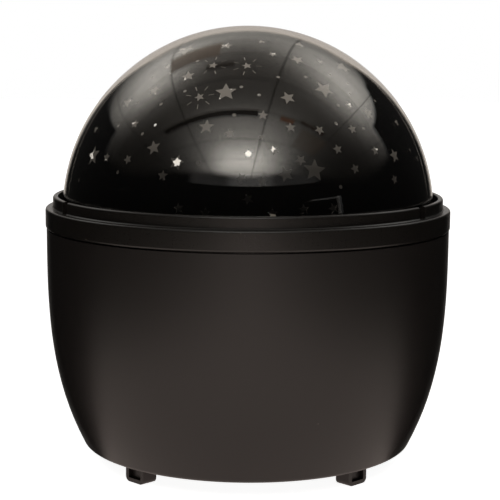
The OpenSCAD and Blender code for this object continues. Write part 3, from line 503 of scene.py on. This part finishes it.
def ceiling(tree, axes, glow):
    """Draws tile lines and fixtures on the ceiling, flattened by dividing a ray by its rise."""
    rise = add(tree, "Math", {0: axes.outputs[2], 1: LEAST_RISE}, operation="MAXIMUM")
    across = add(tree, "Math", {0: axes.outputs[0], 1: rise}, operation="DIVIDE")
    along = add(tree, "Math", {0: axes.outputs[1], 1: rise}, operation="DIVIDE")
    u = add(tree, "Math", {0: along, 1: -TILE_TURN, 2: across}, operation="MULTIPLY_ADD")
    v = add(tree, "Math", {0: across, 1: TILE_TURN, 2: along}, operation="MULTIPLY_ADD")
    for place, pitch, start in zip((u, v), TILE, TILE_START):
        # Each line lies in the middle of a step
        step = add(tree, "Math", {0: place, 1: start - pitch / 2}, operation="SUBTRACT")
        step = add(tree, "Math", {0: step, 1: pitch}, operation="FLOORED_MODULO")
        line = between(tree, step, pitch / 2 - LINE_HALF, pitch / 2 + LINE_HALF, LINE_EDGE)
        left_over = add(tree, "MapRange", {0: line, 3: 1.0, 4: LINE_SHADE})
        glow = add(tree, "VectorMath", {0: glow, "Scale": left_over}, operation="SCALE")
    for left, right, front, back, colour, cover in CEILING:
        wide = between(tree, u, left, right, FIXTURE_EDGE)
        deep = between(tree, v, front, back, FIXTURE_EDGE)
        inside = add(tree, "Math", {0: wide, 1: deep}, operation="MULTIPLY")
        inside = add(tree, "Math", {0: inside, 1: cover}, operation="MULTIPLY")
        glow = add(tree, "Mix", {0: inside, 6: glow, 7: linear(colour)}, data_type="RGBA").outputs[2]
    return glow


def walls(tree, azimuth, height):
    """Brightness of the dark walls, with a dim strip in front and a thin pale frame to its right."""
    total = add(tree, "MapRange", {0: height, 1: 0.0, 2: WALL_TOP, 3: WALL_LOW, 4: WALL_HIGH})
    for left, right, low, high, brightness, soft in WALLS:
        wide = between(tree, azimuth, math.radians(left), math.radians(right), soft)
        tall = between(tree, height, math.radians(low), math.radians(high), WALL_EDGE)
        shape = add(tree, "Math", {0: wide, 1: tall}, operation="MULTIPLY")
        total = add(tree, "Math", {0: shape, 1: brightness, 2: total}, operation="MULTIPLY_ADD")
    return total


def over_screens(tree, azimuth, height):
    """1 where a ray passes over the screens: a ramp round the room holds their top edge and its softness.

    The change goes from half a softness under the edge to a whole one over it.
    """
    turn = add(tree, "Math", {0: azimuth, 1: 1 / math.tau, 2: 0.5}, operation="MULTIPLY_ADD")
    tops = add(tree, "ValToRGB", {"Fac": turn})
    while len(tops.color_ramp.elements) < len(SCREENS):
        tops.color_ramp.elements.new(0.5)
    for element, (place, top, soft) in zip(tops.color_ramp.elements, SCREENS):
        element.position = place / 360 + 0.5
        element.color = (math.radians(top),) * 3 + (math.radians(soft),)
    above = add(tree, "Math", {0: height, 1: tops.outputs[0]}, operation="SUBTRACT")
    above = add(tree, "Math", {0: above, 1: tops.outputs["Alpha"]}, operation="DIVIDE")
    return add(tree, "MapRange", {
        0: above, 1: -0.5, 2: 1.0, 3: 0.0, 4: 1.0,
    }, interpolation_type="SMOOTHSTEP")


def card_behind(tree, axes, height, room):
    """Lays the white card over the room behind the object, its margin first and its middle on top."""
    side = add(tree, "Math", {0: axes.outputs[0], 1: axes.outputs[1]}, operation="DIVIDE")
    rear = add(tree, "Math", {0: axes.outputs[1], 1: 0.0}, operation="GREATER_THAN")
    for reach, top, colour in CARD:
        within = between(tree, side, -reach, reach, CARD_SIDE)
        below = add(tree, "MapRange", {
            0: height, 1: top, 2: top + CARD_TOP, 3: 1.0, 4: 0.0,
        }, interpolation_type="SMOOTHSTEP")
        card = add(tree, "Math", {0: within, 1: rear}, operation="MULTIPLY")
        card = add(tree, "Math", {0: card, 1: below}, operation="MULTIPLY")
        room = add(tree, "Mix", {0: card, 6: room, 7: linear(colour)}, data_type="RGBA").outputs[2]
    return room


def studio_world(scene):
    """Paints the room by direction: white to the camera, soft lights over dark screens for all other rays."""
    world = bpy.data.worlds.new("Studio")
    scene.world = world
    world.use_nodes = True
    tree = world.node_tree
    tree.nodes.clear()
    ray = add(tree, "TexCoord").outputs["Generated"]
    axes = add(tree, "SeparateXYZ", {0: ray})
    forward = add(tree, "Math", {0: axes.outputs[1], 1: -1.0}, operation="MULTIPLY")
    azimuth = add(tree, "Math", {0: axes.outputs[0], 1: forward}, operation="ARCTAN2")
    height = add(tree, "Math", {0: axes.outputs[2]}, operation="ARCSINE")
    glow = soft_lights(tree, ray, plain_ceiling(tree, height))
    glow = ceiling(tree, axes, glow)
    open_air = over_screens(tree, azimuth, height)
    dark = walls(tree, azimuth, height)
    room = add(tree, "Mix", {0: open_air, 6: dark, 7: glow}, data_type="RGBA").outputs[2]
    room = card_behind(tree, axes, height, room)
    seen = add(tree, "LightPath").outputs["Is Camera Ray"]
    shown = add(tree, "Mix", {0: seen, 6: room, 7: linear("#ffffff")}, data_type="RGBA")
    back = add(tree, "Background", {"Color": shown.outputs[2], "Strength": 1.0})
    add(tree, "OutputWorld", {"Surface": back})


# ---------------------------------------------------------------- stage

# The paper's own light, which keeps it white in the picture
PAPER_GLOW = 0.93
# Table top that lights the bowl from below: half width, front edge and back edge
TABLE_HALF, TABLE_FRONT, TABLE_BACK = 0.3, -0.9, -0.022
# Its glow is painted light, dimmer near the object as painted shade: its strength and the half width of its
# lit part go from the far values to the near ones between these places
TABLE_FAR, TABLE_NEAR = -0.45, -0.08
PAINTED_LIGHT_FAR, PAINTED_LIGHT_NEAR = 0.85, 0.5
REACH_FAR, REACH_NEAR = 0.17, 0.27
# Share of the lit part that has full strength
REACH_FULL = 0.35


def place_camera(stage, scene):
    """Sets the camera in front of the object, looking a little down."""
    lens = bpy.data.cameras.new("Camera")
    lens.lens = stage.lens
    lens.sensor_width = 36
    lens.shift_x = stage.shift
    lens.clip_start = 0.01
    lens.clip_end = 20
    camera = bpy.data.objects.new("Camera", lens)
    scene.collection.objects.link(camera)
    turn = Matrix.Rotation(math.pi / 2 - stage.pitch, 4, "X") @ Matrix.Rotation(stage.roll, 4, "Z")
    camera.matrix_world = Matrix.Translation((0, -stage.camera_back, stage.camera_height)) @ turn
    scene.camera = camera


def white_paper():
    """Matt white paper that gives off enough light of its own to stay white, and is clear from below."""
    material, tree, shader = new_material(
        "White paper sweep", Base_Color=linear("#e6e6e6"), Roughness=0.9, Emission_Color=linear("#ffffff"),
        Emission_Strength=PAPER_GLOW,
    )
    # Clear from below, so that the underside shows
    below = add(tree, "NewGeometry").outputs["Backfacing"]
    link(tree, add(tree, "Math", {0: 1.0, 1: below}, operation="SUBTRACT"), shader, "Alpha")
    return material


def pale_table_top():
    """Pale painted board whose glow is painted light: brightest far in front, dimmer near the object as
    painted shade, and lit over a wider part near it.
    """
    material, tree, shader = new_material(
        "Pale table top", Base_Color=linear("#c9c5be"), Roughness=0.8, Emission_Color=linear("#ffe9e0")
    )
    place = add(tree, "SeparateXYZ", {0: add(tree, "TexCoord").outputs["Object"]})
    # Painted light: the glow falls from far in front towards the object, as painted shade, and fades out at
    # the sides of a lit part that is wider near the object
    painted_light, reach = (
        add(tree, "MapRange", {0: place.outputs[1], 1: TABLE_FAR, 2: TABLE_NEAR, 3: far, 4: near})
        for far, near in ((PAINTED_LIGHT_FAR, PAINTED_LIGHT_NEAR), (REACH_FAR, REACH_NEAR))
    )
    out = add(tree, "Math", {0: place.outputs[0], 1: reach}, operation="DIVIDE")
    middle = between(tree, out, -REACH_FULL, REACH_FULL, 1 - REACH_FULL)
    link(tree, add(tree, "Math", {0: painted_light, 1: middle}, operation="MULTIPLY"), shader, "Emission Strength")
    return material


def flat_sheet(name, half, front, back, level, material):
    """A level rectangle that faces up: from -half to half across, from front to back, all at one level."""
    mesh = bpy.data.meshes.new(name)
    corners = [(-half, front, level), (half, front, level), (half, back, level), (-half, back, level)]
    mesh.from_pydata(corners, [], [(0, 1, 2, 3)])
    mesh.materials.append(material)
    sheet = bpy.data.objects.new(name, mesh)
    bpy.context.scene.collection.objects.link(sheet)
    return sheet


class PROJECTOR_OT_stage(bpy.types.Operator):
    """Camera at the photograph's angle, pale floor and studio light"""

    bl_idname = "projector.stage"
    bl_label = "Stage"

    def execute(self, context):
        stage = context.scene.projector_stage
        place_camera(stage, context.scene)
        context.scene.view_settings.view_transform = "Standard"
        studio_world(context.scene)
        floor = flat_sheet("floor", stage.floor, -stage.floor, stage.floor, 0, white_paper())
        # The paper is for the camera alone: the dark screens stand on it as far as the object can see
        floor.visible_diffuse = False
        floor.visible_glossy = False
        floor.visible_transmission = False
        table = flat_sheet("table", TABLE_HALF, TABLE_FRONT, TABLE_BACK, -MM, pale_table_top())
        # The table lights the bowl, but neither the camera nor the windows show it
        table.visible_camera = False
        table.visible_transmission = False
        return {"FINISHED"}


# ---------------------------------------------------------------- dome


class PROJECTOR_OT_clear_dome(bpy.types.Operator):
    """Clear moulded dome: two spheres one wall apart, joined by a flat bottom edge"""

    bl_idname = "projector.clear_dome"
    bl_label = "Clear dome"

    def execute(self, context):
        """A point is the centre plus radius times (cos v cos u, cos v sin u, sin v), with u once round.

        v goes from the angle of the bottom edge's level to the pole, on the outside and on the inside.
        """
        dome = context.scene.projector_dome
        radii = (DOME_R, DOME_R - dome.shell_wall)
        u = np.linspace(0, math.tau, dome.turns, endpoint=False)
        rings = []
        for radius in radii:
            start = math.asin((DOME_LOW.z - DOME_Z) / radius)
            v = np.linspace(start, math.pi / 2, dome.rows + 1)[:-1, None]
            rings.append(np.stack([
                radius * np.cos(v) * np.cos(u), radius * np.cos(v) * np.sin(u),
                DOME_Z + radius * np.sin(v) + 0 * u,
            ], -1))
        poles = np.array([[0, 0, DOME_Z + radii[0]], [0, 0, DOME_Z + radii[1]]])
        points = np.concatenate([rings[0].reshape(-1, 3), rings[1].reshape(-1, 3), poles])
        n, m = dome.turns, dome.rows
        i, j = np.meshgrid(np.arange(m - 1), np.arange(n), indexing="ij")
        a, b = (i * n + j).ravel(), (i * n + (j + 1) % n).ravel()
        outer = np.stack([a, b, b + n, a + n], -1)
        inner = outer[:, ::-1] + m * n
        k = np.arange(n)
        edge = np.stack([k, m * n + k, m * n + (k + 1) % n, (k + 1) % n], -1)
        top = (m - 1) * n
        cap_out = np.stack([top + k, top + (k + 1) % n, np.full(n, 2 * m * n)], -1)
        cap_in = np.stack([m * n + top + (k + 1) % n, m * n + top + k, np.full(n, 2 * m * n + 1)], -1)
        faces = [*outer.tolist(), *inner.tolist(), *edge.tolist(), *cap_out.tolist(), *cap_in.tolist()]
        material = clear_acrylic("Acrylic, moulded and polished", dome.tint, 0.0)
        piece = piece_from("clear_dome", points, faces, material, "dome", "dome_shell")
        # Only the bottom edge has corners as steep as this
        piece.data.set_sharp_from_angle(angle=math.radians(40))
        return {"FINISHED"}


# How near to a sphere a point of the mask counts as on it, and how level with it a face has to lie
ON_SPHERE = 0.05 * MM
LEVEL_FACE = 0.01 * MM
ALONG_SPHERE = 0.8
# Twice the area in square metres under which a face is left out as a sliver
SLIVER = 1e-14


class PROJECTOR_OT_star_mask(bpy.types.Operator):
    """Black mask with star windows, its two faces drawn onto true spheres"""

    bl_idname = "projector.star_mask"
    bl_label = "Star mask"

    def execute(self, context):
        """Points near a sphere go onto it, and corners of faces that lie along it take its normal.

        The inner face comes out to the film's own thickness, along the arm from the centre, or level at
        the edge.
        """
        dome = context.scene.projector_dome
        points, faces = merged("star_mask")
        centre = np.array([0, 0, DOME_Z])
        arms = points - centre
        lengths = np.linalg.norm(arms, axis=1)
        outward = arms / lengths[:, None]
        low = points[:, 2] < MASK_LOW.z + ON_SPHERE
        for found, radius in ((MASK_R, MASK_R), (MASK_R - dome.mask_wall, MASK_R - dome.film)):
            near = np.abs(lengths - found) < ON_SPHERE
            points[near] = centre + radius * outward[near]
            lengths[near] = radius
            rim = near & low
            rim_radius = math.sqrt(radius**2 - (DOME_Z - MASK_LOW.z) ** 2)
            flat_way = arms[rim, :2] / np.linalg.norm(arms[rim, :2], axis=1)[:, None]
            points[rim] = np.column_stack([rim_radius * flat_way, np.full(rim.sum(), MASK_LOW.z)])
        a, b, c = points[faces[:, 0]], points[faces[:, 1]], points[faces[:, 2]]
        flat = np.cross(b - a, c - a)
        size = np.linalg.norm(flat, axis=1)
        faces, flat = faces[size > SLIVER], flat[size > SLIVER]
        flat /= np.linalg.norm(flat, axis=1)[:, None]
        along = np.einsum("ij,ij->i", flat, outward[faces].mean(1))
        spread = lengths[faces].max(1) - lengths[faces].min(1)
        round_face = (np.abs(along) > ALONG_SPHERE) & (spread < LEVEL_FACE)
        normals = np.repeat(flat, 3, axis=0).reshape(-1, 3, 3)
        normals[round_face] = outward[faces[round_face]] * np.sign(along[round_face])[:, None, None]
        name = "Polystyrene, thermoformed, gloss black"
        material = mask_film(name, dome.mask_colour, dome.inner_colour, dome.gloss, dome.film)
        piece = piece_from("star_mask_skin", points, faces.tolist(), material, "dome", "star_mask")
        piece.data.normals_split_custom_set(normals.reshape(-1, 3))
        return {"FINISHED"}


# ---------------------------------------------------------------- housing and works


class PROJECTOR_OT_housing(bpy.types.Operator):
    """Bowl, ring, battery door, buttons and inlet in dark moulded plastic"""

    bl_idname = "projector.housing"
    bl_label = "Housing"

    def execute(self, context):
        housing = context.scene.projector_housing
        bowl = spark_plastic("ABS, moulded, spark texture", housing.bowl, housing.roughness, dust=0.004)
        ring = spark_plastic("ABS, moulded, satin", housing.ring, housing.roughness - 0.06, dust=0.02)
        button = spark_plastic("ABS buttons, moulded, satin", housing.button, 0.4, dust=0.002)
        inlet = moulded_plastic("PBT inlet body, moulded", "#1d1d1e", 0.4)
        smooth_copy("base_housing", bowl, "housing")
        smooth_copy("battery_door", bowl, "battery_door")
        smooth_copy("top_ring", ring, "housing")
        for name in ("light_button", "colour_button", "spin_button"):
            smooth_copy(name, button, name)
        smooth_copy("power_inlet", inlet, "housing")
        return {"FINISHED"}


class PROJECTOR_OT_drive(bpy.types.Operator):
    """Turntable, pinion, gearbox, motor, deck and screws"""

    bl_idname = "projector.drive"
    bl_label = "Drive and deck"

    def execute(self, context):
        acetal = moulded_plastic("Acetal gears, moulded", "#e4dfd0", 0.42)
        black = moulded_plastic("Polypropylene deck and turntable, moulded", "#232324", 0.5)
        can = plated_metal("Steel motor can, nickel plated", "#b9b9bb", 0.32)
        zinc = plated_metal("Steel screws, zinc plated", "#c2c2c6", 0.3)
        paint(acetal, "drive_pinion", "gearbox")
        paint(black, "turntable_ring", "deck_plate", "lamp_post")
        paint(can, "motor")
        paint(zinc, "deck_screws", "motor_screws")
        return {"FINISHED"}


class PROJECTOR_OT_electrics(bpy.types.Operator):
    """Lamps, boards, switches, cells, contacts and leads"""

    bl_idname = "projector.electrics"
    bl_label = "Electrics"

    def execute(self, context):
        low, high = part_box("battery_cells")
        half = (high.x - low.x) / 2
        contacts = plated_metal("Contacts, nickel plated spring steel", "#cbc7bc", 0.25)
        paint(moulded_plastic("Lamp board, white solder mask", "#e9e8e2", 0.3), "lamp_board")
        paint(lamp_epoxy("Lamps, cast epoxy"), "dome_lamps")
        paint(circuit_laminate("Control board, green solder mask"), "control_board")
        paint(moulded_plastic("Switches, moulded nylon", "#26262a", 0.45), "tact_switches")
        paint(cell_sleeve("Cells in plain shrink sleeve", "#2a2723", "#8c5a2e", half), "battery_cells")
        paint(contacts, "contact_plates", "contact_springs")
        paint(lead_sleeve("Red lead, extruded PVC", "#a8201a"), "lamp_leads", "battery_leads")
        paint(lead_sleeve("Black lead, extruded PVC", "#1f1f22"), "motor_leads", "inlet_leads")
        return {"FINISHED"}


# ---------------------------------------------------------------- add-on


class PROJECTOR_PT_panel(bpy.types.Panel):
    """Lists the settings and the pieces of the projector"""

    bl_idname = "PROJECTOR_PT_panel"
    bl_label = "Star projector"
    bl_space_type = "VIEW_3D"
    bl_region_type = "UI"
    bl_category = "Projector"

    def draw(self, context):
        for name in GROUPS:
            group = getattr(context.scene, name)
            box = self.layout.box()
            for key in group.bl_rna.properties.keys():
                if key not in ("rna_type", "name"):
                    box.prop(group, key)
        for operator in OPERATORS:
            self.layout.operator(operator.bl_idname)


GROUPS = {
    "projector_stage": ProjectorStage,
    "projector_dome": ProjectorDome,
    "projector_housing": ProjectorHousing,
}
OPERATORS = (
    PROJECTOR_OT_stage,
    PROJECTOR_OT_clear_dome,
    PROJECTOR_OT_star_mask,
    PROJECTOR_OT_housing,
    PROJECTOR_OT_drive,
    PROJECTOR_OT_electrics,
)


def register():
    """Registers the settings, operators and panel."""
    for name, group in GROUPS.items():
        bpy.utils.register_class(group)
        setattr(bpy.types.Scene, name, PointerProperty(type=group))
    for operator in OPERATORS:
        bpy.utils.register_class(operator)
    bpy.utils.register_class(PROJECTOR_PT_panel)


def unregister():
    """Takes the panel, operators and settings away again."""
    bpy.utils.unregister_class(PROJECTOR_PT_panel)
    for operator in reversed(OPERATORS):
        bpy.utils.unregister_class(operator)
    for name, group in GROUPS.items():
        delattr(bpy.types.Scene, name)
        bpy.utils.unregister_class(group)


def main():
    """Registers the add-on and builds every piece."""
    register()
    for operator in OPERATORS:
        group, name = operator.bl_idname.split(".")
        getattr(getattr(bpy.ops, group), name)()


if __name__ == "__main__":
    main()
